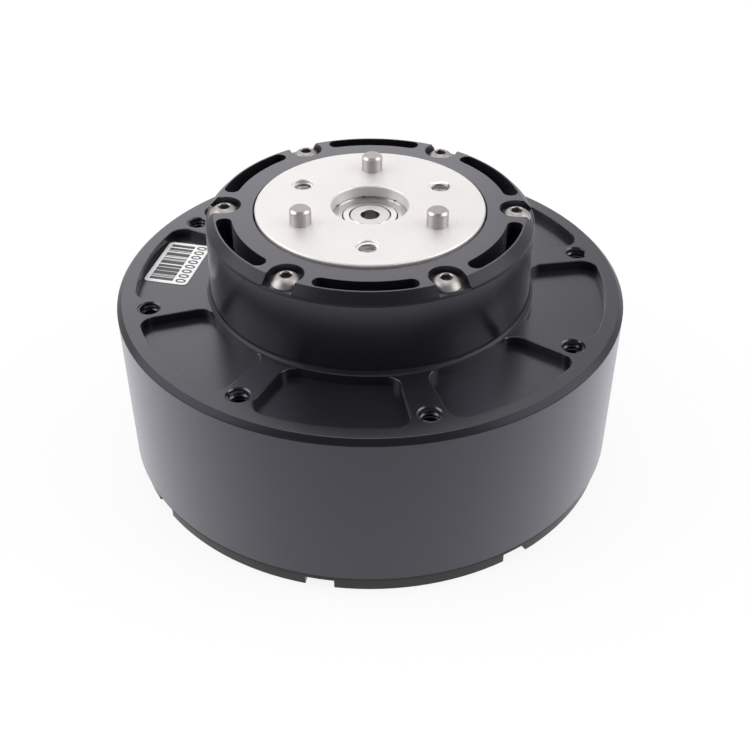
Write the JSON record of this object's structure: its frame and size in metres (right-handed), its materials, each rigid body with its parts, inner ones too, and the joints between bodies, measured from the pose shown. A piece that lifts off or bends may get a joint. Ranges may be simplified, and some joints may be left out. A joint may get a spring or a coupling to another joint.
{
  "type": "robot joint actuator",
  "caption": "Flat geared servo actuator for a robot joint: outer rotor motor, one planetary stage and a pinned output flange in a round black housing.",
  "frame": {"origin": "centre of the rear face, which the actuator stands on", "axes": "+Z along the output axis, from the rear cover to the output flange; one neck screw on +X"},
  "size_m": [0.098, 0.098, 0.0553],
  "materials": {
    "bearing_steel": "ground",
    "black_anodised": "satin black anodised, bead blasted",
    "black_screw": "black oxide",
    "board_green": "solder mask",
    "bronze": "plain bearing bronze",
    "cage_plastic": "moulded",
    "capacitor": "can",
    "chip_black": "moulded",
    "contact_gold": "plated",
    "copper": "enamelled copper wire",
    "core_steel": "laminated",
    "dowel_steel": "ground",
    "gear_steel": "machined",
    "label_white": "printed film",
    "magnet": "nickel plated",
    "screw_steel": "zinc plated",
    "seal_rubber": "moulded",
    "silver_blasted": "bead blasted, clear anodised",
    "socket_white": "moulded",
    "socket_yellow": "moulded"
  },
  "bodies": {
    "housing": {"front_housing": "black_anodised", "neck_screws": "screw_steel", "ring_gear": "gear_steel", "output_bearing_outer_race": "bearing_steel", "output_bearing_seals": "seal_rubber", "serial_label": "label_white", "stator_mount": "silver_blasted", "stator_core": "core_steel", "stator_windings": "copper", "phase_leads": "copper", "rear_bearing_outer_race": "bearing_steel", "rear_cover": "black_anodised", "cover_screws": "black_screw", "driver_board": "board_green", "board_screws": "screw_steel", "encoder_chip": "chip_black", "controller_chip": "chip_black", "power_transistors": "chip_black", "capacitors": "capacitor", "power_socket": "socket_yellow", "power_contacts": "contact_gold", "signal_sockets": "socket_white", "signal_contacts": "contact_gold"},
    "output": {"output_flange": "silver_blasted", "output_pins": "dowel_steel", "output_bearing_inner_race": "bearing_steel", "output_retaining_ring": "black_screw", "nose_bearing_outer_race": "bearing_steel", "nose_bearing_shield": "bearing_steel", "carrier_plate": "gear_steel", "carrier_screws": "screw_steel", "planet_axles": "dowel_steel", "planet_washers": "bronze"},
    "planet_1": {"planet_gear_1": "gear_steel", "planet_bush_1": "bronze"},
    "planet_2": {"planet_gear_2": "gear_steel", "planet_bush_2": "bronze"},
    "planet_3": {"planet_gear_3": "gear_steel", "planet_bush_3": "bronze"},
    "rotor": {"sun_gear_shaft": "gear_steel", "rotor_bell": "gear_steel", "rotor_magnets": "magnet", "rotor_screws": "screw_steel", "shaft_retaining_ring": "black_screw", "nose_bearing_inner_race": "bearing_steel", "rear_bearing_inner_race": "bearing_steel", "encoder_magnet": "magnet"},
    "output_bearing_ball_set": {"output_bearing_balls": "bearing_steel", "output_bearing_cage": "cage_plastic"},
    "nose_bearing_ball_set": {"nose_bearing_balls": "bearing_steel", "nose_bearing_cage": "cage_plastic"},
    "rear_bearing_ball_set": {"rear_bearing_balls": "bearing_steel", "rear_bearing_cage": "cage_plastic"}
  },
  "joints": [
    {"name": "output_turn", "type": "hinge", "parent": "housing", "child": "output", "pos_m": [0, 0, 0], "axis": [0, 0, 1], "continuous": true},
    {"name": "rotor_spin", "type": "hinge", "parent": "housing", "child": "rotor", "pos_m": [0, 0, 0], "axis": [0, 0, 1], "continuous": true},
    {"name": "planet_1_spin", "type": "hinge", "parent": "output", "child": "planet_1", "pos_m": [0, 0.0135, 0], "axis": [0, 0, 1], "continuous": true},
    {"name": "planet_2_spin", "type": "hinge", "parent": "output", "child": "planet_2", "pos_m": [-0.01169, -0.00675, 0], "axis": [0, 0, 1], "continuous": true},
    {"name": "planet_3_spin", "type": "hinge", "parent": "output", "child": "planet_3", "pos_m": [0.01169, -0.00675, 0], "axis": [0, 0, 1], "continuous": true},
    {"name": "output_balls_turn", "type": "hinge", "parent": "housing", "child": "output_bearing_ball_set", "pos_m": [0, 0, 0], "axis": [0, 0, 1], "continuous": true},
    {"name": "nose_balls_turn", "type": "hinge", "parent": "housing", "child": "nose_bearing_ball_set", "pos_m": [0, 0, 0], "axis": [0, 0, 1], "continuous": true},
    {"name": "rear_balls_turn", "type": "hinge", "parent": "housing", "child": "rear_bearing_ball_set", "pos_m": [0, 0, 0], "axis": [0, 0, 1], "continuous": true}
  ],
  "couplings": [
    {"joint": "rotor_spin", "follows": "output_turn", "ratio": 6},
    {"joint": "planet_1_spin", "follows": "output_turn", "ratio": -2.5},
    {"joint": "planet_2_spin", "follows": "output_turn", "ratio": -2.5},
    {"joint": "planet_3_spin", "follows": "output_turn", "ratio": -2.5},
    {"joint": "output_balls_turn", "follows": "output_turn", "ratio": 0.4689},
    {"joint": "nose_balls_turn", "follows": "output_turn", "ratio": 3.0417},
    {"joint": "rear_balls_turn", "follows": "output_turn", "ratio": 2.5034}
  ]
}
